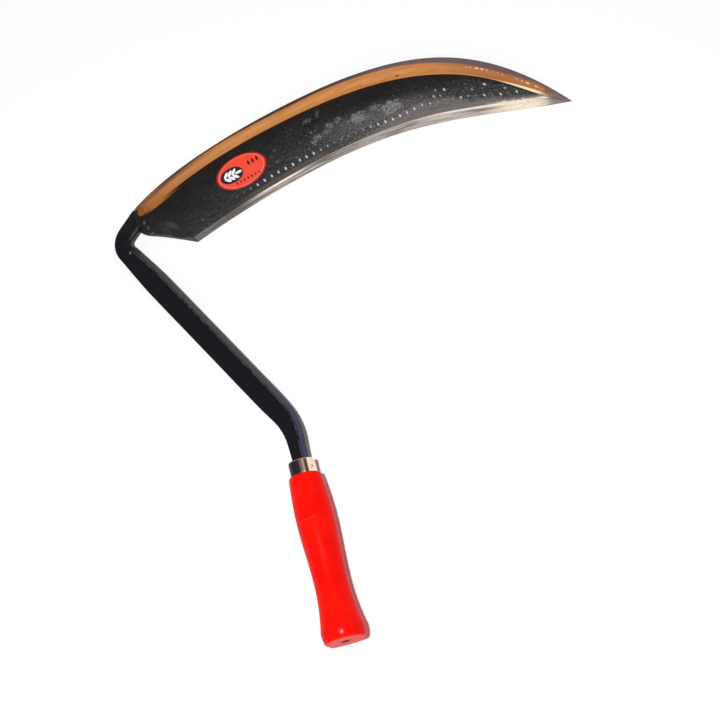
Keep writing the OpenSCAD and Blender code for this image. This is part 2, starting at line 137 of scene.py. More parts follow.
# Course of the bar
CRANK_T = CRANK_R * math.tan(math.radians(CRANK_ANGLE / 2))
HOOK_T = HOOK_R * math.tan(math.radians(HOOK_ANGLE / 2))
AT_CRANK = MOUTH_Y + CRANK_AT - CRANK_T - NECK_Y
AT_BAR = AT_CRANK + CRANK_R * math.radians(CRANK_ANGLE)
AT_HOOK = AT_BAR + SHANK_LEN - CRANK_T - HOOK_T
AT_LEAD = AT_HOOK + HOOK_R * math.radians(HOOK_ANGLE)
MID_HOOK = (AT_HOOK + AT_LEAD) / 2
AT_END = AT_LEAD + END_LEN
BAR_DIR = 90 + CRANK_ANGLE
LEAD_DIR = BAR_DIR - HOOK_ANGLE
CHORD_DIR = LEAD_DIR - BLADE_LEAD
CRANK_C = Vector((-CRANK_R, NECK_Y + AT_CRANK))
BAR_0 = CRANK_C + CRANK_R * toward(CRANK_ANGLE)
HOOK_0 = BAR_0 + (AT_HOOK - AT_BAR) * toward(BAR_DIR)
HOOK_C = HOOK_0 + HOOK_R * toward(BAR_DIR - 90)
LEAD_0 = HOOK_C + HOOK_R * toward(LEAD_DIR + 90)
LEAD_1 = LEAD_0 + END_LEN * toward(LEAD_DIR)
NECK_MID = NECK_RISE + NECK_W / 2
HEEL_XY = LEAD_1 - turned((-HEEL_LEN, NECK_MID * math.cos(math.radians(BLADE_TILT))), CHORD_DIR)

BLADE_PLACE = (Matrix.Translation((HEEL_XY[0], HEEL_XY[1], FLOOR_Z))
               @ Matrix.Rotation(math.radians(CHORD_DIR), 4, "Z")
               @ Matrix.Rotation(math.radians(BLADE_TILT), 4, "X"))


def course(s):
    """Point and heading of the bar's middle line."""
    if s < AT_CRANK:
        return (0, NECK_Y + s), 90
    if s < AT_BAR:
        head = 90 + math.degrees((s - AT_CRANK) / CRANK_R)
        return CRANK_C + CRANK_R * toward(head - 90), head
    if s < AT_HOOK:
        return BAR_0 + (s - AT_BAR) * toward(BAR_DIR), BAR_DIR
    if s < AT_LEAD:
        head = BAR_DIR - math.degrees((s - AT_HOOK) / HOOK_R)
        return HOOK_C + HOOK_R * toward(head + 90), head
    return LEAD_0 + (s - AT_LEAD) * toward(LEAD_DIR), LEAD_DIR


TWIST = math.radians(BAR_TWIST)
TILT = math.radians(BLADE_TILT)
HOOK_Z = min(0, FLOOR_Z + BAR_W / 2 * math.sin(TWIST) + BAR_H / 2 * math.cos(TWIST) + FLOOR_GAP)
END_Z = FLOOR_Z + NECK_MID * math.sin(TILT) + (NECK_UNDER + END_H / 2) * math.cos(TILT)


def bar_z(s):
    return mix(HOOK_Z * ramp(s, AT_CRANK, AT_HOOK), END_Z, ease(ramp(s, AT_HOOK, AT_LEAD)))


def bar_roll(s):
    return mix(BAR_TWIST, -BLADE_TILT, ease(ramp(s, AT_HOOK - HOOK_R / 2, AT_LEAD - HOOK_R / 3)))


def bar_width(s):
    if s < MID_HOOK:
        wide = mix(ROOT_W, BAR_W, ease(s / BAR_TAPER))
        return mix(wide, HOOK_W, ease(ramp(s, AT_HOOK - HOOK_TAPER, MID_HOOK)))
    return mix(HOOK_W, END_W, ease(ramp(s, MID_HOOK, AT_END)))


def bar_height(s):
    return mix(mix(ROOT_H, BAR_H, ease(s / BAR_TAPER)), END_H, ease(ramp(s, AT_HOOK, AT_END)))


# Outline and section of the blade
TIP = Vector((BLADE_LEN, 0))
BACK_0 = Vector((-HEEL_LEN, NECK_RISE + NECK_W))
BACK_C = Vector((BACK_CROWN, BACK_RISE))
INNER_0 = Vector((-HEEL_LEN, NECK_RISE))
EDGE_0 = Vector((0, 0))
EDGE_C = Vector((EDGE_CROWN, EDGE_RISE))


def crowned(t, start, slope, crown, tip_slope, full):
    """A curve from start (t = 0) over its crown (t = 1) to the tip (t = 2)."""
    if t < 1:
        span = crown[0] - start[0]
        return bezier(start, start + full[0] * span * toward(slope),
                      crown - Vector((full[1] * span, 0)), crown, t)
    span = TIP[0] - crown[0]
    return bezier(crown, crown + Vector((full[2] * span, 0)),
                  TIP - full[3] * span * toward(-tip_slope), TIP, t - 1)


def outer_at(q):
    t = BACK_HEEL * (1 + q) if q < 0 else mix(BACK_HEEL, 2, q)
    return crowned(t, BACK_0, BACK_SLOPE, BACK_C, BACK_TIP_SLOPE, BACK_FULL)


def inner_at(q):
    if q > 0:
        return crowned(2 * q, EDGE_0, EDGE_SLOPE, EDGE_C, EDGE_TIP_SLOPE, EDGE_FULL)
    return -q * INNER_0 - Vector((0, HEEL_BULGE * math.sin(math.pi * (-q) ** 5)))


class Station:
    """What the blade's section needs at one place q, which runs from -1 at the
    joint through 0 at the heel corner to 1 at the tip."""

    def __init__(self, q):
        self.q = q
        self.outer, self.inner = outer_at(q), inner_at(q)
        self.reach = (self.inner - self.outer).length
        self.across = (self.inner - self.outer) / max(self.reach, 1e-6)
        r = self.reach
        self.k = r / (r ** 3 + SHRINK_W ** 3) ** (1 / 3)
        self.thin = mix(THINNEST, 1, self.k)
        self.sharp = ease((q + BLUNT_LEN) / BLUNT_LEN)
        self.rib = self.k * mix(RIB_W_HEEL, RIB_W, ramp(self.outer[0], WIDEN_FROM, WIDEN_TO))
        self.flank = self.rib + self.k * FLANK_W
        ground = mix(BEVEL_W_HEEL, BEVEL_W, ramp(self.inner[0], WIDEN_FROM, WIDEN_TO))
        self.bevel = r - self.k * ground * mix(BLUNT_BEVEL, 1, self.sharp)
        self.tongue = 1 - ease((q + TONGUE_FROM) / TONGUE_LEN)
        self.end_top = mix(BLUNT_T * WEB_EDGE_T, EDGE_T, self.sharp)
        self.along = 0.0

    def under(self, s):
        return DISH * self.thin * math.sin(math.pi * min(1, max(0, s / self.reach)))

    def web(self, s):
        return self.under(s) + self.thin * mix(WEB_T, WEB_EDGE_T, ramp(s, self.flank, self.bevel))


# Material making
class Nodes:
    """Nodes that end in one shader."""

    def __init__(self, tree, shader):
        self.tree, self.shader = tree, tree.nodes[shader]

    def set(self, **sockets):
        for name, value in sockets.items():
            self.feed(self.shader.inputs[name.replace("_", " ")], value)

    def feed(self, socket, value):
        if isinstance(value, bpy.types.NodeSocket):
            self.tree.links.new(value, socket)
        elif isinstance(value, tuple) and len(value) == 3 and socket.type == "RGBA":
            socket.default_value = (*value, 1)
        else:
            socket.default_value = value

    def node(self, kind, inputs=(), **settings):
        made = self.tree.nodes.new("ShaderNode" + kind)
        for name, value in settings.items():
            setattr(made, name, value)
        for name, value in dict(inputs).items():
            self.feed(made.inputs[name], value)
        return made

    def math(self, operation, *values):
        return self.node("Math", enumerate(values), operation=operation).outputs[0]

    def add(self, total, *others):
        for other in others:
            total = self.math("ADD", total, other)
        return total

    def minus(self, a, b):
        return self.math("SUBTRACT", a, b)

    def times(self, product, *others):
        for other in others:
            product = self.math("MULTIPLY", product, other)
        return product

    def most(self, a, b):
        return self.math("MAXIMUM", a, b)

    def swing(self, grain, reach):
        """A grain's swing about its middle."""
        return self.times(self.minus(grain, 0.5), reach)

    def scale(self, value, start, end, low, high, **settings):
        return self.node("MapRange", {"Value": value, "From Min": start, "From Max": end,
                                      "To Min": low, "To Max": high}, **settings).outputs[0]

    def rise(self, value, start, end):
        """0 below start, 1 above end, smooth between."""
        return self.scale(value, start, end, 0, 1, interpolation_type="SMOOTHSTEP")

    def band(self, value, start, end, soft):
        return self.times(self.rise(value, start - soft, start + soft),
                          self.rise(value, end + soft, end - soft))

    def place(self):
        return self.node("TexCoord").outputs["Object"]

    def split(self, vector):
        return self.node("SeparateXYZ", {0: vector}).outputs

    def map(self, layer):
        """The two measures that a piece keeps in one of its UV maps."""
        return self.split(self.node("UVMap", uv_map=layer).outputs[0])[:2]

    def vector(self, x, y, z=0.0):
        return self.node("CombineXYZ", {0: x, 1: y, 2: z}).outputs[0]

    def stretch(self, vector, scales):
        return self.node("VectorMath", {0: vector, 1: scales}, operation="MULTIPLY").outputs[0]

    def length(self, vector):
        return self.node("VectorMath", {0: vector}, operation="LENGTH").outputs["Value"]

    def grain(self, vector, scale, detail=3.0, roughness=0.55):
        """Noise of one scale, or of one for each axis."""
        if isinstance(scale, tuple):
            vector, scale = self.stretch(vector, scale), 1
        made = self.node("TexNoise", {"Vector": vector, "Scale": scale, "Detail": detail,
                                      "Roughness": roughness})
        return made.outputs["Fac"]

    def oval(self, x, y, centre_x, centre_y, wide, tall, turn=0):
        """Square of the distance from an oval's middle, 1 on its rim."""
        c, s = toward(turn)
        dx, dy = self.minus(x, centre_x), self.minus(y, centre_y)
        along = self.times(self.add(self.times(dx, c), self.times(dy, s)), 1 / wide)
        across = self.times(self.minus(self.times(dy, c), self.times(dx, s)), 1 / tall)
        return self.add(self.times(along, along), self.times(across, across))

    def mark(self, x, y, centre_x, centre_y, wide, tall):
        """A small oval mark, 1 in its middle."""
        return self.rise(self.oval(x, y, centre_x, centre_y, wide, tall), 1.2, 0.6)

    def diamond(self, x, y, centre_x, centre_y, wide, tall):
        """Distance from a lozenge's middle, 1 on its rim."""
        dx = self.math("ABSOLUTE", self.minus(x, centre_x))
        dy = self.math("ABSOLUTE", self.minus(y, centre_y))
        return self.add(self.times(dx, 1 / wide), self.times(dy, 1 / tall))

    def blend(self, factor, under, over, share=None):
        """One colour over another, where factor is 1, or there by a share."""
        if share is not None:
            factor = self.times(factor, share)
        return self.node("Mix", {0: factor, 6: under, 7: over}, data_type="RGBA").outputs[2]

    def coats(self, skin, *coats):
        """Coats over a skin: where each one lies, its colour and, if it is thin, its share."""
        for where, colour, *share in coats:
            skin = self.blend(where, skin, colour, *share)
        return skin

    def bump(self, height, distance):
        made = self.node("Bump", {"Height": height, "Distance": distance, "Strength": 1.0})
        self.set(Normal=made.outputs[0])

    def seen(self):
        """1 for what the eye or a reflection sees."""
        rays = self.node("LightPath").outputs
        seen = self.most(rays["Is Camera Ray"], rays["Is Glossy Ray"])
        return self.most(seen, rays["Is Transmission Ray"])


class Finish(Nodes):
    """A procedural finish for one piece."""

    def __init__(self, name, **sockets):
        self.material = bpy.data.materials.new(name)
        self.material.use_nodes = True
        super().__init__(self.material.node_tree, "Principled BSDF")
        self.set(**sockets)


# Mesh making
def tube(rows, columns, place, layers):
    """A tube with closed ends, from a grid whose last column meets its first.
    place(row, column) gives the point in millimetres and one pair of measures for
    each UV map named in layers."""
    bm = bmesh.new()
    bmesh.ops.create_grid(bm, x_segments=rows, y_segments=columns, size=0.5)
    maps = [bm.loops.layers.uv.new(name) for name in layers]
    notes = {}
    for vert in bm.verts:
        row, column = round((vert.co.x + 0.5) * rows), round((vert.co.y + 0.5) * columns)
        vert.co, *notes[vert] = place(row, column)
    for face in bm.faces:
        for loop in face.loops:
            for layer, pair in zip(maps, notes[loop.vert]):
                loop[layer].uv = pair
    bmesh.ops.remove_doubles(bm, verts=bm.verts, dist=1e-4)
    bmesh.ops.holes_fill(bm, edges=[edge for edge in bm.edges if edge.is_boundary], sides=0)
    return bm


# Steps round the turned pieces
HANDLE_STEPS, FERRULE_STEPS, NAIL_STEPS, LABEL_STEPS = 144, 150, 40, 96


def turned_solid(outline, steps, degrees=360):
    """A closed outline of (radius, distance along +Y), turned round the handle's axis."""
    bm = bmesh.new()
    verts = [bm.verts.new((r, y, 0)) for r, y in outline]
    full = degrees == 360
    edges = [bm.edges.new(pair) for pair in zip(verts, verts[1:] + verts[:1])]
    geom = verts + edges
    if not full:
        geom.append(bm.faces.new(verts))
    bmesh.ops.spin(bm, geom=geom, cent=(0, 0, 0), axis=(0, 1, 0), dvec=(0, 0, 0),
                   angle=math.radians(degrees), steps=steps, use_merge=full)
    bmesh.ops.remove_doubles(bm, verts=bm.verts, dist=1e-5)
    return bm


def add_object(name, data):
    made = bpy.data.objects.new(name, data)
    bpy.context.scene.collection.objects.link(made)
    return made


def add_mesh(bm, name, finish):
    mesh = bpy.data.meshes.new(name)
    bm.to_mesh(mesh)
    bm.free()
    mesh.materials.append(finish.material)
    return add_object(name, mesh)


def hand_over(bm, name, finish, node, sharp, transform=Matrix()):
    """Makes the finished piece, in metres, and ties it to the frame."""
    bmesh.ops.recalc_face_normals(bm, faces=bm.faces)
    bmesh.ops.transform(bm, matrix=Matrix.Scale(MM, 4) @ transform, verts=bm.verts)
    for face in bm.faces:
        face.smooth = True
    for edge in bm.edges:
        edge.smooth = edge.calc_face_angle(0) < math.radians(sharp)
    piece = add_mesh(bm, name, finish)
    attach(piece, "root")
    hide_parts(node)


# Blade: zones round its section, from the back over the top to the edge and back
# below, and the steps in each
RIB, FLANK, WEB, BEVEL, EDGE, UNDER_BEVEL, UNDER_WEB, UNDER_RIB, BACK = range(9)
ZONE_STEPS = (7, 8, 50, 6, 1, 3, 12, 6, 2)
HEEL_STEPS, RUN_STEPS, LAST_Q = 130, 600, 0.9965
THINNEST, TONGUE_FROM, TONGUE_LEN = 0.25, 0.86, 0.5
BLUNT_LEN, BLUNT_BEVEL, BLUNT_T = 0.3, 0.2, 0.9
# roundings of the rib: how wide and deep at the back, and how deep elsewhere
ROUND_W, ROUND_TOP, ROUND_UNDER, CREASE_DROP, RIB_UNDER = 0.6, 0.7, 0.6, 0.5, 0.9
RIPPLE, RIPPLE_PITCH, FORGED, TIP_Z = 0.16, 1.5, 0.1, 0.3
DENT_PITCH, DENT_ROWS, DENT_SPACING, DENT_LEAN = 6.05, 5, 4.3, 0.3
DENT_FIRST, DENT_SKIPPED, DENT_MARGIN = 6, 0.25, 2.2
# how far a dent strays along the blade and across it, in the first row and above it
STRAY = (0.5, 0.5), (2.4, 2.0)
# finer steps across the web, from above the first row of dents to below it
FINE_ABOVE, FINE_BELOW, FINE_SHARE = 4.5, 4.0, 0.4
# grey scuffs in the lacquer, partly a painted sheen: along, from the edge, wide, tall, tone
SCUFFS_AND_SHEEN = ((0.113, 0.0210, 0.0045, 0.0030, 0.21), (0.125, 0.0245, 0.0050, 0.0045, 0.14),
          (0.133, 0.0270, 0.0035, 0.0025, 0.14), (0.150, 0.0225, 0.0070, 0.0045, 0.24),
          (0.164, 0.0255, 0.0045, 0.0030, 0.16), (0.176, 0.0210, 0.0085, 0.0055, 0.28),
          (0.109, 0.0380, 0.0036, 0.0022, 0.10), (0.118, 0.0395, 0.0024, 0.0032, 0.10))
# the same with a turn before the tone
STROKES = ((-0.0378, 0.0110, 0.0030, 0.0011, 52, 0.085),
           (-0.0362, 0.0066, 0.0028, 0.0010, 50, 0.085),
           (-0.0352, 0.0016, 0.0022, 0.0008, 30, 0.085),
           (-0.0125, 0.0135, 0.0060, 0.0036, 10, 0.042))


def first_row(along):
    """Distance of the first row of hammer dents from the edge."""
    return 11.8 + 4.2 * ease(ramp(along, 174, 204)) - 2.4 * ease(ramp(along, 228, 262))


def dents(along, from_edge, room):
    """Depth of the hammer dents and the strength of the painted highlight in each: one clear row
    near the edge and fainter ones above it."""
    base = first_row(along)
    row = round((from_edge - base) / DENT_SPACING)
    if not 0 <= row < DENT_ROWS:
        return 0.0, 0.0
    depth, dent_glint = 0.0, 0.0
    shift = 0.5 * (row % 2) * DENT_PITCH
    nearest = (along - shift) / DENT_PITCH
    for column in (math.floor(nearest), math.ceil(nearest)):
        luck, sway, tilt = chance(row, column), chance(row, column, 5), chance(row, column, 9)
        stray_l, stray_d = STRAY[row > 0]
        centre_l = shift + column * DENT_PITCH + (sway - 0.5) * stray_l
        centre_d = base + row * DENT_SPACING + (tilt - 0.5) * stray_d
        if (row and luck < DENT_SKIPPED) or centre_d > room or centre_l < DENT_FIRST:
            continue
        dd = from_edge - centre_d
        dl = along - centre_l + DENT_LEAN * dd
        past_crown = ramp(centre_l, 196, 214)
        wide, tall = 0.95, mix(1.75, 1.2, past_crown)
        if row:
            wide, tall = mix(0.8, 1.5, sway), mix(0.9, 1.7, luck)
        near = 1 - (dl / wide) ** 2 - (dd / tall) ** 2
        if near <= 0:
            continue
        # bare is the strength of the painted highlight in this dent
        if row == 0:
            start = ramp(centre_l, 50, 64)
            lull = ramp(centre_l, 108, 122) * ramp(centre_l, 168, 154)
            full = mix(0.12, mix(0.19, 0.26, luck), start)
            bare = mix(mix(0.08, 0.20, sway), mix(0.62, 1, luck), start)
            bare *= (1 - 0.6 * lull) * (1 - 0.65 * past_crown * ramp(luck, 0.75, 0.45))
        else:
            full = mix(0.03, 0.13, luck)
            bare = mix(0.02, 0.22, sway) * mix(0.6, 1, ramp(centre_l, 55, 75))
            bare *= 1 - 0.5 * ramp(centre_l, 130, 170)
            if row < 3 and luck > 0.5:
                bare = max(bare, 0.62 * sway * ramp(centre_l, 196, 212) * ramp(centre_l, 272, 262))
        depth, dent_glint = max(depth, full * near ** 2), max(dent_glint, bare * near)
    return depth, dent_glint


def web_steps(station):
    """Places across the web, closer together where the first row of dents runs."""
    count, flank, bevel = ZONE_STEPS[WEB], station.flank, station.bevel
    row = station.reach - first_row(station.along)
    near, far = max(row - FINE_ABOVE, flank + 2), min(row + FINE_BELOW, bevel - 1)
    if far - near < 4:
        return spread(flank, bevel, count)
    fine = round(count * FINE_SHARE)
    rest = count - fine
    before = max(2, round(rest * (near - flank) / (near - flank + bevel - far)))
    return spread(flank, near, before) + spread(near, far, fine) + spread(far, bevel, rest - before)


def blade_section(station):
    """Points round the blade at a station: distance from the back, height, zone and the strength of
    the painted highlight at the point."""
    k, th, rib, fl, bv = station.k, station.thin, station.rib, station.flank, station.bevel
    reach, top = station.reach, RIB_H * station.thin
    crease, foot, under_rib = top - CREASE_DROP * th, station.web(fl), RIB_UNDER * th
    crest, shoulder, back_round = rib + 0.3 * k, rib - 0.4 * k, ROUND_W * k
    points = []

    def put(zone, f, s, w, dent_glint=0.0):
        level = f if zone == BACK else float(zone <= EDGE)
        w = mix(w, NECK_UNDER + NECK_T * level, station.tongue)
        points.append((s, w, zone + f, dent_glint))

    def shares(zone):
        return spread(0, 1, ZONE_STEPS[zone])

    for f in shares(RIB):
        s = crest * f
        if s < back_round:
            w = top - ROUND_TOP * th * rounding(s / back_round)
        else:
            w = top - CREASE_DROP * th * ramp(s, shoulder, crest) ** 2
        put(RIB, f, s, w)
    for f in shares(FLANK):
        s = mix(crest, fl, f)
        g = (s - rib) / (fl - rib)
        put(FLANK, f, s, mix(crease, foot, g) - FLANK_HOLLOW * k * math.sin(math.pi * g))
    for s in web_steps(station):
        w, dent_glint = station.web(s), 0.0
        if station.q > 0 and fl + 1 < s < bv - 0.5:
            depth, dent_glint = dents(station.along, reach - s, reach - fl - DENT_MARGIN)
            w -= depth * station.thin
        forged = noise.noise(Vector((station.along / 16, s / 11, 3.1)))
        w -= FORGED * th * (0.5 + 0.5 * forged) * ramp(s, fl, fl + 5) * ramp(s, bv, bv - 3)
        put(WEB, (s - fl) / (bv - fl), s, w, dent_glint)
    for f in shares(BEVEL):
        w = mix(station.web(bv), station.end_top, f + 0.12 * f * (1 - f))
        put(BEVEL, f, mix(bv, reach, f), w)
    put(EDGE, 0, reach, station.end_top)
    for f in shares(UNDER_BEVEL):
        put(UNDER_BEVEL, f, mix(reach, bv, f), mix(0, station.under(bv), f))
    for f in shares(UNDER_WEB):
        s = mix(bv, fl, f)
        put(UNDER_WEB, f, s, station.under(s))
    for f in shares(UNDER_RIB):
        s = mix(fl, 0, f)
        w = mix(station.under(fl), under_rib, ramp(s, fl, rib) ** 1.32)
        if s < back_round:
            w = under_rib + ROUND_UNDER * th * rounding(s / back_round)
        put(UNDER_RIB, f, s, w)
    for f in shares(BACK) + [1]:
        put(BACK, f, 0, mix(under_rib + ROUND_UNDER * th, top - ROUND_TOP * th, f))
    return points


def blade_stations():
    places = spread(-1, 0, HEEL_STEPS) + spread(0, LAST_Q, RUN_STEPS) + [LAST_Q]
    stations = [Station(q) for q in places]
    onward, back = range(HEEL_STEPS + 1, len(stations)), range(HEEL_STEPS - 1, -1, -1)
    for order in (onward, back):
        for i in order:
            before = stations[i - order.step]
            run = (stations[i].inner - before.inner).length
            stations[i].along = before.along + order.step * run
    return stations


def blade():
    stations = blade_stations()
    columns = sum(ZONE_STEPS)
    sections = {}

    def place(row, column):
        if row == len(stations):
            last = stations[-1]
            return (*TIP, TIP_Z), (last.along * MM, 0), (column, last.q), (0, 0)
        station = stations[row]
        if row not in sections:
            sections[row] = blade_section(station)
        s, w, zone, dent_glint = sections[row][column]
        ripple = 0.0
        if station.q < 0 and BEVEL < zone < UNDER_WEB:
            ripple = RIPPLE * (1 + math.cos(math.tau * station.along / RIPPLE_PITCH))
            ripple *= ramp(-station.q, 0.03, 0.12) * ramp(station.q, -0.93, -0.8)
        p = station.outer + (s - ripple) * station.across
        return (*p, w), (station.along * MM, (station.reach - s) * MM), (zone, station.q), (dent_glint, 0)

    bm = tube(len(stations), columns, place, ("lay", "zone", "dent_glint"))
    hand_over(bm, "blade_forged", blade_finish(), "blade", 50, BLADE_PLACE)


def blade_finish():
    f = Finish("forged_blade_steel", Specular_IOR_Level=0.08)
    along, from_edge = f.map("lay")
    zone, q = f.map("zone")
    dent_glint = f.map("dent_glint")[0]
    spot = f.vector(along, from_edge)
    upper = f.math("LESS_THAN", zone, UNDER_BEVEL)
    speck = f.grain(spot, 800, 3, 0.6)
    mottle = f.grain(spot, 560, 3, 0.6)
    blotch = f.grain(spot, 420, 4, 0.7)
    tatter = f.grain(spot, 260, 4, 0.7)

    # lacquer, thin and mottled over the forged skin, more so past the middle
    worn_low = f.times(f.rise(from_edge, 0.036, 0.017), f.scale(along, 0.055, 0.135, 0.12, 1))
    patches = f.times(f.rise(f.grain(spot, 75, 3), 0.46, 0.6), f.rise(along, 0.06, 0.12))
    # smoother in the upper web up to the crown
    calm = f.times(f.band(along, 0.152, 0.226, 0.014), f.rise(from_edge, 0.017, 0.026), 0.7)
    flecks = f.add(f.scale(worn_low, 0, 1, 0.16, 0.75), f.times(patches, 0.42))
    flecks = f.times(f.rise(mottle, 0.44, 0.84), flecks,
                     f.scale(along, 0.235, 0.255, 1, 1.25), f.minus(1, calm))
    sparks = f.times(f.rise(f.grain(spot, 420, 2, 0.5), 0.64, 0.72),
                     f.scale(worn_low, 0, 1, 0.03, 0.8))
    coat = f.coats(
        (0.004, 0.0044, 0.0044),
        (f.rise(f.grain(spot, 70, 4, 0.6), 0.35, 0.75), (0.0135, 0.0131, 0.0131)),
        (worn_low, (0.034, 0.033, 0.033), 0.5),
        (flecks, (0.14, 0.136, 0.134)),
        (sparks, (0.22, 0.22, 0.22)),
        (f.rise(along, 0.06, -0.015), (0.0045, 0.0045, 0.0045), 0.6),
        # painted shade: dark brown in the crease under the stripe
        (f.rise(zone, 2.2, 1.98), (0.012, 0.0055, 0.0035), 0.85))

    # grey scuffs in the lacquer, and a painted sheen where the hammered lacquer reflects light in
    # the middle of the web
    torn = f.swing(tatter, 5)
    for *form, tone in SCUFFS_AND_SHEEN:
        scuff_and_sheen = f.times(f.rise(f.add(f.oval(along, from_edge, *form), torn), 1.15, 0.45),
                        upper, f.scale(blotch, 0.4, 0.6, 0.05, 1))
        coat = f.blend(scuff_and_sheen, coat, (tone, 0.965 * tone, 0.95 * tone))
    for *form, tone in STROKES:
        stroke = f.times(f.rise(f.oval(along, from_edge, *form), 1.4, 0.2),
                         upper, f.scale(blotch, 0.34, 0.6, 0.2, 1))
        coat = f.blend(stroke, coat, (tone, 0.965 * tone, 0.92 * tone))
    # painted sheen: grey haze over the hammered lacquer
    painted_sheen = f.times(f.band(along, 0.135, 0.205, 0.03), f.band(from_edge, 0.01, 0.025, 0.005),
                   upper, f.scale(mottle, 0.36, 0.68, 0.14, 0.68))

    # bare band between the first row of dents and the ground edge
    ragged = f.swing(f.grain(spot, 230, 4, 0.7), 0.011)
    limit = f.add(f.scale(along, 0.22, 0.238, 0.018, 0.0124), ragged,
                  f.scale(along, 0.245, 0.285, 0, -0.0042),
                  f.times(f.rise(along, 0.202, 0.15), -0.0105))
    bare = f.times(f.rise(f.minus(limit, from_edge), -0.0022, 0.0022), f.rise(along, 0.125, 0.18))
    uneven = f.rise(along, 0.245, 0.215)
    bare_tone = f.coats(
        (0.095, 0.08, 0.08),
        (f.grain(spot, (30, 500, 1), 3), (0.165, 0.145, 0.142)),
        (f.times(f.rise(mottle, 0.5, 0.34), uneven), (0.04, 0.036, 0.036), 0.4),
        (f.times(f.rise(mottle, 0.52, 0.66), uneven), (0.27, 0.245, 0.235), 0.3))
    # brown where the lacquer gets thin beside the ground edge
    ground_w = f.add(f.scale(along, 0.03, 0.06, 0.0047, 0.0051),
                     f.scale(along, 0.145, 0.21, 0, 0.0018))
    thin = f.times(f.band(f.minus(from_edge, ground_w), -0.0006, 0.0036, 0.0009),
                   f.band(along, 0.048, 0.12, 0.012), f.scale(blotch, 0.3, 0.6, 0.35, 0.8), upper)
    # painted highlights in the hammer dents
    dent_glint = f.times(dent_glint, f.scale(f.grain(spot, 620, 3, 0.7), 0.36, 0.56, 0.62, 1.15))
    coat = f.coats(
        coat,
        (painted_sheen, (0.17, 0.16, 0.155)),
        (bare, bare_tone),
        (thin, (0.08, 0.06, 0.056)),
        (f.rise(dent_glint, 0.12, 0.6), (0.86, 0.88, 0.88)),
        (f.rise(dent_glint, 0.02, 0.24), (0.17, 0.17, 0.17), 0.45))

    # ground edge with marks of the stone that run along it
    depth = f.minus(ground_w, from_edge)
    ground = f.times(f.rise(depth, -0.00025, 0.00025), f.band(zone, 2.08, 5.97, 0.03),
                     f.rise(q, -0.012, 0.004))
    light = f.times(f.rise(f.add(from_edge, f.times(ragged, 0.7)), 0.009, 0.006),
                    f.band(along, 0.254, 0.292, 0.012), upper)
    ground = f.most(ground, light)
    streak = f.grain(spot, (22, 900, 1), 4, 0.65)
    grit = f.rise(f.grain(spot, (420, 1500, 1), 4, 0.7), 0.5, 0.68)
    # bright line along its upper side
    bright = f.most(f.times(f.band(along, 0.064, 0.098, 0.016), 0.95),
                    f.times(f.rise(along, 0.18, 0.235), 0.7))
    line = f.times(f.band(depth, 0.0004, 0.0016, 0.0003), bright)
    pale = f.times(f.rise(along, 0.238, 0.272), f.rise(along, 0.306, 0.286),
                   f.rise(streak, 0.22, 0.5))
    steel = f.coats(
        (0.07, 0.058, 0.052),
        (f.rise(streak, 0.4, 0.6), (0.265, 0.24, 0.212)),
        (f.rise(f.grain(spot, (90, 8000, 1), 2), 0.52, 0.75), (0.32, 0.298, 0.262), 0.45),
        (f.rise(along, 0.068, 0.04), (0.06, 0.052, 0.049), 0.8),
        (f.band(along, 0.116, 0.174, 0.012), (0.1, 0.088, 0.078), 0.3),
        (f.band(along, 0.194, 0.234, 0.012), (0.36, 0.325, 0.28), 0.3),
        (line, (0.5, 0.45, 0.41)),
        (pale, (0.46, 0.4, 0.315)),
        (f.rise(along, 0.292, 0.306), (0.135, 0.104, 0.106)),
        (f.times(grit, f.scale(along, 0.2, 0.26, 0.15, 0.6)), (0.11, 0.096, 0.092)))

    # top of the rib: its lighter grey-brown is a painted reflection of the sky on the rounded rib,
    # browner toward the crease and at the heel
    rim = f.coats(
        (0.09, 0.065, 0.078),
        (f.grain(spot, 90, 3), (0.17, 0.13, 0.15)),
        (f.rise(zone, 0.35, 0.98), (0.15, 0.07, 0.042)),
        (f.rise(along, 0.205, 0.11), (0.052, 0.03, 0.021)),
        (f.rise(along, -0.006, -0.028), (0.125, 0.066, 0.046)))

    # painted stripe on the flank, brown and dull along its upper side near the heel
    wear = f.grain(spot, (60, 420, 1), 4, 0.6)
    blemish = f.rise(f.grain(spot, 110, 4, 0.65), 0.56, 0.74)
    dull = f.times(f.rise(f.add(zone, f.swing(wear, 0.5)), 1.42, 1.02), f.rise(along, 0.05, 0.01))
    stain = f.times(f.rise(tatter, 0.46, 0.66), f.rise(along, -0.012, -0.036))
    # painted highlights on the stripe: a glint along its lower edge near the tip, a softer line
    # before it, and flashes along its upper crease
    glint = f.times(f.rise(f.minus(zone, f.scale(along, 0.262, 0.29, 1.85, 1.5)), -0.06, 0.06),
                    f.rise(zone, 2.05, 1.95), f.band(along, 0.26, 0.293, 0.01))
    soft_glint_line = f.times(f.band(zone, 1.86, 1.985, 0.05), f.band(along, 0.19, 0.262, 0.02))
    flashes = f.times(f.band(zone, 1.02, 1.13, 0.05),
                      f.most(f.band(along, 0.24, 0.262, 0.006),
                             f.band(along, 0.276, 0.292, 0.006)),
                      f.rise(f.grain(spot, (300, 60, 1), 3), 0.47, 0.6))
    gold = f.coats(
        (0.47, 0.174, 0.036),
        (f.rise(wear, 0.3, 0.7), (0.6, 0.24, 0.06)),
        (f.rise(along, 0.055, -0.02), (0.35, 0.122, 0.02)),
        (f.rise(along, 0.19, 0.265), (0.38, 0.135, 0.036)),
        (blemish, (0.36, 0.14, 0.05), 0.35),
        (dull, (0.2, 0.085, 0.04), 0.8),
        (f.rise(along, -0.022, -0.037), (0.225, 0.082, 0.016), 0.8),
        (stain, (0.12, 0.052, 0.016), 0.75),
        (glint, (1, 0.8, 0.48), 0.95),
        (soft_glint_line, (0.75, 0.42, 0.16), 0.5),
        (flashes, (0.98, 0.78, 0.62)))
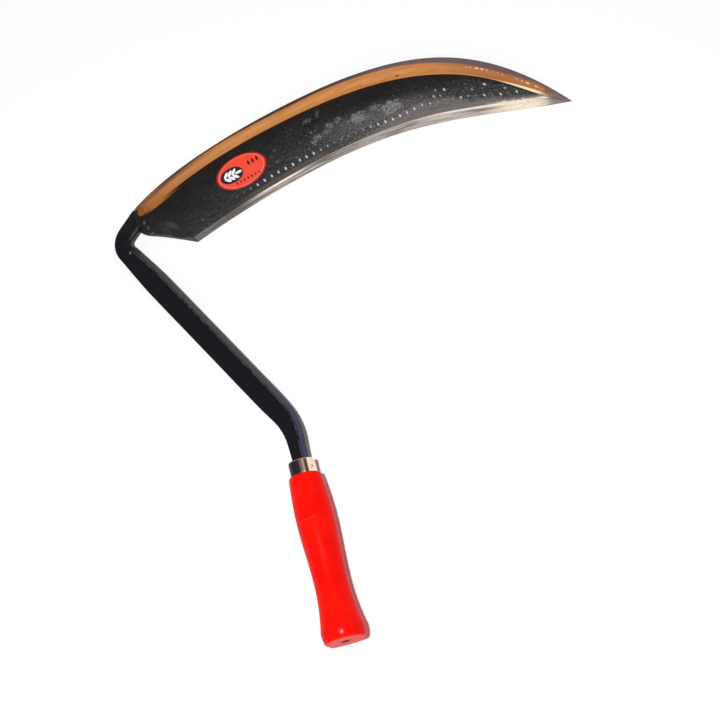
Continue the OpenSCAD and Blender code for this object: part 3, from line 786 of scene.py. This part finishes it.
    # where it lies: from a bowed start nearly to the tip, and thinly over the crease on
    # to the rib
    above, below = f.most(f.minus(1.55, zone), 0), f.most(f.minus(zone, 1.55), 0)
    bow = f.add(f.times(above, above, 0.22), f.times(below, below, 0.45))
    start = f.rise(f.add(f.minus(q, bow), f.swing(blemish, 0.03)), -0.935, -0.885)
    over = f.add(f.scale(along, 0.03, 0.11, 0.45, 0.6), f.scale(along, 0.185, 0.245, 0, 0.27),
                 f.scale(along, 0.265, 0.295, 0, -0.4), f.scale(along, 0, 0.05, 0.5, 0),
                 f.times(f.band(along, 0.042, 0.108, 0.015), 0.22), f.swing(wear, 0.2))
    painted = f.times(f.rise(f.minus(zone, over), -0.17, 0.22), f.rise(zone, 1.99, 1.9))
    below_crease = f.times(f.rise(zone, 2.062, 2.035), f.band(along, -0.028, 0.002, 0.012))
    striped = f.times(f.most(painted, below_crease), upper, start, f.rise(along, 0.303, 0.287))
    unpainted = f.minus(1, striped)

    heel_rim = f.times(f.band(zone, 2.975, 4.5, 0.02), f.rise(q, -0.8, -0.68),
                       f.rise(q, -0.004, -0.02), f.scale(speck, 0.4, 0.6, 0.3, 0.9))
    end_tone = f.blend(f.rise(zone, 2, 1.4), (0.16, 0.13, 0.13), (0.16, 0.11, 0.095))
    skin = f.coats(
        coat,
        (f.times(f.rise(zone, 1.03, 0.97), f.rise(q, -0.97, -0.93)), rim),
        (heel_rim, (0.115, 0.112, 0.11)),
        (ground, steel),
        (striped, gold),
        (f.times(f.rise(along, 0.292, 0.304), unpainted), end_tone),
        # a chip in the paint
        (f.mark(along, from_edge, 0.1856, 0.0445, 0.0017, 0.0007), (0.2, 0.045, 0.02)))
    rough = f.times(f.scale(speck, 0.3, 0.8, 0.34, 0.5), f.minus(1, ground))
    f.set(Base_Color=skin, Roughness=f.add(rough, f.times(ground, 0.55)),
          Metallic=f.times(ground, unpainted, 0.5))
    hammered = f.times(f.grain(spot, 210, 3), f.band(zone, 2.1, 2.95, 0.08), 0.8)
    f.bump(f.add(hammered, f.times(streak, ground, 0.1), f.times(speck, 0.16)), 0.00045)
    return f


# Shank
CORNER_STEPS, FACE_STEPS = 5, (5, 10, 5, 10)
BAR_STEPS, MITRE, TANG_EDGE, BEATEN = (12, 20, 90, 44, 8), 3, 0.4, 0.014
NICK_AT, PALE_SIDE_TO = (AT_HOOK - 4) * MM, (AT_HOOK + 1) * MM
HOOK_HIGHLIGHT = ((AT_HOOK + 12) * MM, (AT_LEAD + 8) * MM)


def bar_outline(w, h, c):
    """Bar section with rounded corners, from the lower right corner upward, with a
    face measure that is a whole number at each corner."""
    points = []
    corners = ((w / 2 - c, -h / 2 + c, -90), (w / 2 - c, h / 2 - c, 0),
               (-w / 2 + c, h / 2 - c, 90), (-w / 2 + c, -h / 2 + c, 180))
    for n, (x, y, start) in enumerate(corners):
        for i, p in enumerate(arc((x, y), c, start, start + 90, CORNER_STEPS)):
            points.append((*p, n - 0.1 + 0.2 * i / CORNER_STEPS))
        x2, y2, start2 = corners[(n + 1) % 4]
        here, there = points[-1], arc((x2, y2), c, start2, start2 + 90, 1)[0]
        for i in range(1, FACE_STEPS[n]):
            f = i / FACE_STEPS[n]
            points.append((mix(here[0], there[0], f), mix(here[1], there[1], f), n + 0.1 + 0.8 * f))
    return points


def on_course(point, head, z, roll, across, lift):
    side = toward(head - 90)
    c, s = toward(roll)
    over = across * c - lift * s
    return Vector((point[0] + over * side[0], point[1] + over * side[1], z + across * s + lift * c))


def onto_joint(p):
    """Carries a point of the bar's end on to the plane where the blade starts."""
    run_dir, chord = toward(LEAD_DIR), toward(CHORD_DIR)
    out = (p[0] - HEEL_XY[0]) * chord[0] + (p[1] - HEEL_XY[1]) * chord[1]
    run = (-HEEL_LEN - out) / run_dir.dot(chord)
    return Vector((p[0] + run * run_dir[0], p[1] + run * run_dir[1], p[2]))


def shank():
    ends = [0, AT_CRANK, AT_BAR, AT_HOOK, AT_LEAD, AT_END - MITRE]
    bar = [s for a, b, count in zip(ends, ends[1:], BAR_STEPS) for s in spread(a, b, count)]
    bar.append(ends[-1])
    tang = [TANG_TIP_Y, mix(TANG_TIP_Y, NECK_Y, 0.5), NECK_Y]
    rows = len(tang) + len(bar)
    columns = len(bar_outline(10, 8, 1))

    def place(row, column):
        column %= columns
        if row < len(tang):
            side = mix(TANG_END_W, TANG_W, (tang[row] - TANG_TIP_Y) / TANG_LEN)
            x, y, face = bar_outline(side, side, TANG_EDGE)[column]
            return on_course((0, tang[row]), 90, 0, BAR_TWIST, x, y), (0, face)
        s = AT_END if row == rows else bar[row - len(tang)]
        x, y, face = bar_outline(bar_width(s), bar_height(s), BAR_EDGE)[column]
        beaten = noise.noise(Vector((s / 23, x / 9, y / 9)))
        beaten *= ramp(s, 4, 20) * ramp(s, AT_END, AT_LEAD)
        shrink = 1 - BEATEN * (0.5 + 0.5 * beaten)
        p = on_course(*course(s), bar_z(s), bar_roll(s), x * shrink, y * shrink)
        if row == rows:
            p = onto_joint(p)
        return p, (s * MM, face + (4 if column == columns else 0))

    bm = tube(rows, columns, place, ("lay",))
    hand_over(bm, "shank_forged", shank_finish(), "shank", 40)


def shank_finish():
    f = Finish("lacquered_bar_steel", Specular_IOR_Level=0.085)
    along, face = f.map("lay")
    place = f.place()
    cloud = f.grain(place, 70, 4)
    speck = f.grain(place, 900, 3, 0.7)
    # painted reflection: the lifted narrow side painted paler, bluer toward the ferrule, for the
    # bright surroundings it faces
    side = f.times(f.band(face, 0.13, 0.87, 0.05), f.rise(along, PALE_SIDE_TO, PALE_SIDE_TO - 0.016))
    side_reflection_tone = f.coats(
        (0.045, 0.039, 0.045),
        (f.grain(place, 160, 4), (0.085, 0.075, 0.083)),
        (f.rise(along, 0.085, 0.02), (0.055, 0.058, 0.115)))
    edges = f.times(f.most(f.band(face, -0.03, 0.03, 0.05), f.band(face, 0.97, 1.03, 0.05)),
                    f.rise(f.grain(place, 240, 4, 0.65), 0.34, 0.6),
                    f.rise(along, PALE_SIDE_TO, PALE_SIDE_TO - 0.012))
    # painted highlight along the rounded inner edge of the hook
    hook_highlight = f.times(f.band(face, 1.06, 1.2, 0.05), f.band(along, *HOOK_HIGHLIGHT, 0.003),
                  f.scale(f.grain(place, 420, 4, 0.65), 0.35, 0.62, 0.2, 1))
    skin = f.coats(
        (0.001, 0.0013, 0.0024),
        (cloud, (0.0038, 0.0046, 0.0068)),
        (side, side_reflection_tone, 0.9),
        (edges, (0.2, 0.175, 0.175), 0.6),
        (hook_highlight, (0.08, 0.078, 0.072), 0.85),
        # nick in the inner edge of the hook, painted pale as the highlight it catches
        (f.mark(along, face, NICK_AT, 1.22, 0.0008, 0.11), (0.15, 0.145, 0.14)))
    f.set(Base_Color=skin, Roughness=f.scale(speck, 0.3, 0.8, 0.36, 0.5))
    f.bump(f.add(f.times(cloud, 0.6), f.times(speck, 0.15)), 0.0004)
    return f


# Weld
WELD_END, WELD_ROUND, WELD_FLAT = 1.5, 12, 3


def weld():
    length = NECK_W - 2 * WELD_END
    count = round(length / WELD_PITCH)
    rows, columns = 12 * count, WELD_ROUND + 2 * WELD_FLAT

    def place(row, column):
        t = row / rows
        ends = min(1, 0.35 + 3 * min(t, 1 - t))
        leg = WELD_LEG * ends * (0.86 + 0.14 * abs(math.sin(math.pi * t * count)))
        leg *= 1 - 0.06 * (0.5 + 0.5 * noise.noise(Vector((t * 9, 2.2, 0))))
        flat = (column - WELD_ROUND) / WELD_FLAT
        if flat <= 0:
            a = math.radians(90 * column / WELD_ROUND)
            bulge = 0.8 + 0.2 * abs(math.cos(2 * a))
            x, y = leg * bulge * math.cos(a), leg * bulge * math.sin(a)
        else:
            x, y = leg * max(0, flat - 1), leg * max(0, 1 - flat)
        point = x - HEEL_LEN, NECK_RISE + WELD_END + t * length, y + NECK_UNDER + NECK_T
        return point, (t, column / columns)

    bm = tube(rows, columns, place, ("lay",))
    f = Finish("weld_bead_steel", Specular_IOR_Level=0.12)
    cloud = f.grain(f.place(), 260, 4)
    f.set(Base_Color=f.blend(cloud, (0.005, 0.005, 0.005), (0.026, 0.024, 0.021)),
          Roughness=f.scale(cloud, 0.3, 0.7, 0.3, 0.5))
    f.bump(cloud, 0.0003)
    hand_over(bm, "weld_bead", f, "weld", 40, BLADE_PLACE)


# Handle
# place across the ring's groove and its share of the depth
GROOVE = ((-0.5, 0), (-0.34, 0.35), (-0.17, 0.92), (0, 1), (0.17, 0.92), (0.34, 0.35), (0.5, 0))


def handle_outline():
    swell_y = HANDLE_LEN - SWELL_AT
    butt = [(mix(BUTT_D, FLARE_D, math.sin(a)) / 2, FLARE_AT * (1 - math.cos(a)))
            for a in spread(0, math.pi / 2, 16) + [math.pi / 2]]
    flare = [(mix(WAIST_D, FLARE_D, t * t) / 2, mix(WAIST_AT, FLARE_AT + 1.5, t))
             for t in spread(1, 0, 20)]
    waist = [(mix(WAIST_D, SWELL_D, (1 - math.cos(math.pi * t)) / 2) / 2, mix(WAIST_AT, swell_y, t))
             for t in spread(0, 1, 24)]
    swell = [(mix(SHOULDER_D, SWELL_D, math.sin(math.pi / 2 * d / SWELL_AT)) / 2, HANDLE_LEN - d)
             for d in spread(SWELL_AT, 0, 22)]
    groove = [(SWELL_D / 2 - RING_DEPTH * depth, swell_y + RING_W * at) for at, depth in GROOVE]
    waist = [p for p in waist if p[1] < swell_y - RING_W / 2 - 0.2]
    shoulder_r, shoulder_y = SHOULDER_D / 2 - SHOULDER_ROUND, HANDLE_LEN - SHOULDER_ROUND
    swell = [p for p in swell if swell_y + RING_W / 2 + 0.2 < p[1] < shoulder_y - 0.2]
    shoulder = arc((shoulder_r, shoulder_y), SHOULDER_ROUND, 8, 90, 7)
    neck = [(NECK_R, HANDLE_LEN), (NECK_R, NECK_Y - 0.6), (NECK_R - 0.6, NECK_Y)]
    socket = [(TANG_W * 0.72, NECK_Y), (TANG_END_W * 0.72 + 0.2, TANG_TIP_Y)]
    bore = [(BORE_D / 2, BORE_END_Y)] + [(BORE_D / 2, y) for y in (30, 15, 5)]
    rim = [(BORE_D / 2, 0.9), (BORE_D / 2 + 0.25, 0.35), (BORE_D / 2 + 0.7, 0)]
    face = [(r, 0) for r in (4, 6, 8, 10, 12, 13.6)]
    return bore + rim + face + butt + flare + waist + groove + swell + shoulder + neck + socket


NECK_FROM = (HANDLE_LEN + 0.02) * MM
RING_AT = (HANDLE_LEN - SWELL_AT) * MM


def handle():
    bm = turned_solid(handle_outline(), HANDLE_STEPS)
    hand_over(bm, "handle_turned", handle_finish(), "handle", 32)


def handle_finish():
    f = Finish("red_lacquered_wood", Specular_IOR_Level=0, Roughness=0.5,
               Coat_Weight=0.42, Coat_Roughness=0.22, Coat_IOR=1.3)
    place = f.place()
    x, y, _ = f.split(place)
    radius = f.length(f.stretch(place, (1, 0, 1)))
    grain = f.grain(place, (420, 16, 420), 4, 0.6)
    cloud = f.grain(place, 55, 3)
    # painted highlight along the ring's groove, over part of the handle's width
    groove_highlight = f.times(f.band(y, RING_AT - 0.0017, RING_AT - 0.0006, 0.0004),
                   f.band(x, -0.011, 0.004, 0.003), f.rise(cloud, 0.42, 0.58))
    # thin lacquer over the end grain of the butt
    butt = f.times(f.rise(y, 0.0011, 0.0002), f.rise(radius, 0.0027, 0.003))
    rings = f.grain(f.vector(f.times(radius, 900), f.times(cloud, 3)), 1, 3)
    end_grain = f.blend(rings, (0.97, 0.016, 0.006), (1, 0.095, 0.07))
    # bare wood in the bore, stained round its mouth, and on the neck
    mouth = f.times(f.rise(radius, 0.0056, 0.003), f.rise(y, 0.004, 0.002))
    bare = f.most(f.rise(radius, 0.00275, 0.00255), f.rise(y, NECK_FROM, NECK_FROM + 0.0002))
    skin = f.coats(
        (0.9, 0.002, 0.0002),
        (f.rise(cloud, 0.3, 0.7), (0.98, 0.006, 0.0006)),
        (f.rise(grain, 0.5, 0.8), (0.84, 0.001, 0.0002), 0.25),
        (groove_highlight, (1, 0.03, 0.014)),
        (butt, end_grain, 0.9),
        (mouth, (0.3, 0.02, 0.012), 0.9),
        (bare, (0.06, 0.02, 0.012)))
    f.set(Base_Color=skin)
    f.bump(f.times(f.add(grain, f.grain(place, 240, 2)), 0.35), 0.00016)
    return f


# Ferrule and nail
SEAM_AT = math.radians(SEAM_TURN)
LIP_FROM = (MOUTH_Y - 1.1) * MM


def ferrule():
    r = FERRULE_D / 2
    bore = r - FERRULE_T
    root_reach = math.hypot(ROOT_W / 2, ROOT_H / 2 - BAR_EDGE)
    mouth = min(root_reach + MOUTH_GAP, NECK_R - 0.4)
    outline = ([(bore, HANDLE_LEN + 0.01)] + [(r - 0.2, HANDLE_LEN + 0.01)]
               + arc((r - 0.2, HANDLE_LEN + 0.21), 0.2, -70, 0, 3)
               + [(r, HANDLE_LEN + y) for y in (2, 4, 6, 8, 9.5)]
               + arc((r - 1.2, MOUTH_Y - 1.2), 1.2, 0, 90, 10)
               + [(mouth + 0.25, MOUTH_Y)] + arc((mouth + 0.25, MOUTH_Y - 0.25), 0.25, 90, 180, 3)
               + [(mouth, MOUTH_Y - FERRULE_T)]
               + arc((bore - 0.4, MOUTH_Y - FERRULE_T - 0.4), 0.4, 90, 0, 4))
    gap = math.degrees(SEAM_W / r)
    bm = turned_solid(outline, FERRULE_STEPS, 360 - gap)
    # the outline starts on +X: turn it so that the open seam lies where it should
    start = Matrix.Rotation(math.radians(SEAM_TURN - 90 + gap / 2), 4, "Y")
    hand_over(bm, "ferrule_rolled", ferrule_finish(), "ferrule", 32, start)


def ferrule_finish():
    f = Finish("plated_sheet", Metallic=1)
    place = f.place()
    x, y, z = f.split(place)
    around = f.math("ARCTAN2", x, z)
    # brushing marks, whose light streaks in the colour are also painted reflections
    brushing_and_sheen = f.grain(f.vector(f.times(around, 14), f.times(y, 60)), 1, 4, 0.6)
    drawn = f.grain(f.vector(f.times(around, 5.5), f.times(y, 25), 4), 1, 3)
    beige = f.blend(drawn, (0.2, 0.135, 0.085), (0.44, 0.305, 0.21))
    olive = f.blend(drawn, (0.045, 0.036, 0.026), (0.115, 0.085, 0.062))
    # painted highlight on the rounded lip, stronger on one side
    lip_highlight = f.times(f.rise(y, LIP_FROM, LIP_FROM + 0.0006), f.scale(around, -0.6, 0.4, 0.15, 0.75))
    plate = f.coats(
        (0.8, 0.6, 0.44),
        (f.rise(brushing_and_sheen, 0.3, 0.7), (0.98, 0.84, 0.7)),
        # painted reflections: darker bands round the side away from the blade; the dark band by the
        # seam is the open seam with painted shade beside it
        (f.rise(around, 0.66, 0.52), beige),
        (f.band(around, SEAM_AT - 0.17, SEAM_AT + 0.065, 0.05), (0.08, 0.04, 0.026), 0.9),
        (f.rise(around, 0.26, 0.12), olive),
        (f.rise(around, 0.06, -0.1), (0.022, 0.018, 0.024)),
        (lip_highlight, (0.72, 0.6, 0.56)))
    f.set(Base_Color=plate, Roughness=f.scale(brushing_and_sheen, 0.2, 0.8, 0.3, 0.46))
    f.bump(f.add(brushing_and_sheen, f.grain(place, 700, 3)), 0.00012)
    return f


def nail():
    end = TANG_W / math.sqrt(2) + TANG_GAP + 0.4
    length = FERRULE_D / 2 - end
    head, stem, rise = NAIL_HEAD_D / 2, NAIL_D / 2, 0.3 * NAIL_HEAD_D
    outline = [(0, 0), (stem * 0.5, 0.5), (stem, 1.2), (stem, length - 0.02),
               (head - 0.1, length - 0.02)]
    outline += [(head * x, length + 0.1 + rise * y) for x, y in arc((0, 0), 1, 0, 90, 8)]
    bm = turned_solid(outline, NAIL_STEPS)
    turn = (Matrix.Translation((0, HANDLE_LEN + NAIL_AT, 0))
            @ Matrix.Rotation(math.radians(NAIL_TURN), 4, "Y")
            @ Matrix.Translation((0, 0, end)) @ Matrix.Rotation(math.radians(90), 4, "X"))
    f = Finish("nail_head_steel", Metallic=1, Roughness=0.42)
    rust = f.grain(f.place(), 1500, 3)
    f.set(Base_Color=f.blend(rust, (0.4, 0.28, 0.21), (0.66, 0.5, 0.4)))
    f.bump(rust, 0.0001)
    hand_over(bm, "nail_brad", f, "nail", 40, turn)


# Label
# first place, pitch, count, wide, tall
LOZENGES = (0.36, 0.15, 0.17, 3, 0.055, 0.12), (-0.34, -0.345, 0.15, 7, 0.038, 0.062)
LEAF = 0.135, 0.052


def station_of(p, low=0, high=0.9):
    for _ in range(16):
        mid = (low + high) / 2
        a, b = outer_at(mid), inner_at(mid)
        side = (b[0] - a[0]) * (p[1] - a[1]) - (b[1] - a[1]) * (p[0] - a[0])
        low, high = (mid, high) if side > 0 else (low, mid)
    return Station((low + high) / 2)


def label():
    middle = station_of(Vector((LABEL_AT, (BACK_RISE + EDGE_RISE) / 2)))
    centre = middle.outer + middle.across * mix(middle.flank, middle.bevel, LABEL_ACROSS)
    outline = [(0, 1)] + [(r, 1) for r in (0.15, 0.3, 0.45, 0.6, 0.75, 0.88, 0.965)]
    outline += [(0.985, 0.9), (0.997, 0.6), (1, 0.3), (1, 0), (0.75, 0), (0.45, 0), (0, 0)]
    bm = turned_solid(outline, LABEL_STEPS)
    layer = bm.loops.layers.uv.new("print")
    for face in bm.faces:
        for loop in face.loops:
            loop[layer].uv = (loop.vert.co.x, -loop.vert.co.z)
    for vert in bm.verts:
        x, height, y = vert.co.x, vert.co.y, -vert.co.z
        p = centre + turned((x * LABEL_W / 2, y * LABEL_H / 2), LABEL_TURN)
        station = station_of(p)
        vert.co = (p[0], p[1], station.web((p - station.outer).length) + GLUE_T + height * LABEL_T)
    hand_over(bm, "label_oval", label_finish(), "label", 50, BLADE_PLACE)


def label_finish():
    f = Finish("printed_film", Roughness=0.4, Specular_IOR_Level=0.1)
    x, y = f.map("print")
    radius = f.length(f.vector(x, y))
    y = f.times(y, LABEL_H / LABEL_W)
    film = f.coats(
        (0.8, 0.056, 0.03),
        (f.grain(f.vector(x, y), 6, 3), (0.9, 0.085, 0.045)),
        # dark oval field with a pale sprig of leaves
        (f.rise(f.oval(x, y, FIELD_AT, 0.02, 0.44, 0.285), 1.03, 0.97), (0.012, 0.01, 0.012)),
        *((f.rise(f.oval(x, y, *leaf), 1.1, 0.9), (0.86, 0.86, 0.86)) for leaf in leaves()))
    # two rows of dark lozenges beside and below it
    for row_x, row_y, pitch, count, wide, tall in LOZENGES:
        for n in range(count):
            lozenge = f.rise(f.diamond(x, y, row_x + pitch * n, row_y, wide, tall), 1.06, 0.94)
            film = f.blend(lozenge, film, (0.055, 0.008, 0.008))
    keyline = f.band(radius, 0.872, 0.895, 0.008)
    film = f.coats(film, (keyline, (0.95, 0.36, 0.28), 0.55),
                   (f.rise(radius, 0.915, 0.945), (0.3, 0.012, 0.012)))
    f.set(Base_Color=film)
    f.bump(f.grain(f.place(), 900, 2), 0.00005)
    return f


def leaves():
    """Middles, sizes and turns of the leaves: pairs up a stem and one at its top."""
    pairs = [(FIELD_AT - 0.2 + 0.155 * n, 0.02 + side * 0.095, *LEAF, side * 42)
             for n in range(3) for side in (-1, 1)]
    return pairs + [(FIELD_AT + 0.27, 0.02, *LEAF, 0)]


# Studio
TARGET = Vector((0.0619, 0.2027, 0))
DISTANCE, LEAN = 1.9, 14.174
VIEW_X, VIEW_Y = 10, 15
FOCAL_PX, PICTURE_PX, SENSOR = 2533.3, 720, 36
NEAREST, FARTHEST = 0.05, 20
FILL, KEY, KEY_SIZE, KEY_DISTANCE, KEY_TOWARD = 0.19, 0.89, 0.16, 3, (0, -0.16, 1)
FLOOR_HALF, FLOOR_DROP, FLOOR_GLOW = 4, 0.00005, 0.02


def from_picture(x, y, z):
    """A direction given along the picture's right, up and outward, in the part's frame."""
    right, up = turned((x, y), -LEAN)
    return Vector((right, up, z))


def camera():
    across, down = math.tan(math.radians(VIEW_X)), math.tan(math.radians(VIEW_Y))
    back = from_picture(across, -down, 1).normalized()
    right = from_picture(0, 1, 0).cross(back).normalized()
    up = back.cross(right)
    data = bpy.data.cameras.new("camera")
    data.sensor_width, data.lens = SENSOR, SENSOR * FOCAL_PX / PICTURE_PX
    data.clip_start, data.clip_end = NEAREST, FARTHEST
    shot = add_object("camera", data)
    shot.matrix_world = (Matrix.Translation(TARGET + DISTANCE * back)
                         @ Matrix((right, up, back)).transposed().to_4x4())
    bpy.context.scene.camera = shot


def studio():
    world = bpy.data.worlds.new("studio")
    bpy.context.scene.world = world
    world.use_nodes = True
    sky = Nodes(world.node_tree, "Background")
    sky.set(Color=(1, 1, 1), Strength=sky.scale(sky.seen(), 0, 1, FILL, 1))

    lamp = bpy.data.lights.new("key", "AREA")
    lamp.shape, lamp.size = "DISK", KEY_SIZE
    place = TARGET + KEY_DISTANCE * from_picture(*KEY_TOWARD).normalized()
    lamp.energy = KEY * math.pi ** 2 * KEY_DISTANCE ** 2
    key = add_object("key", lamp)
    key.location = place
    key.rotation_mode = "QUATERNION"
    key.rotation_quaternion = (TARGET - place).to_track_quat("-Z", "Y")


def ground():
    bm = bmesh.new()
    bmesh.ops.create_grid(bm, x_segments=1, y_segments=1, size=FLOOR_HALF)
    bmesh.ops.translate(bm, vec=(0, 0, FLOOR_Z * MM - FLOOR_DROP), verts=bm.verts)
    f = Finish("pale_floor", Base_Color=(0.97, 0.97, 0.97), Roughness=0.9, Specular_IOR_Level=0)
    f.set(Emission_Color=(1, 1, 1), Emission_Strength=f.times(f.seen(), FLOOR_GLOW))
    floor = add_mesh(bm, "floor", f)


camera()
blade()
shank()
weld()
handle()
ferrule()
nail()
label()
studio()
ground()
bpy.context.scene.view_settings.view_transform = "Standard"
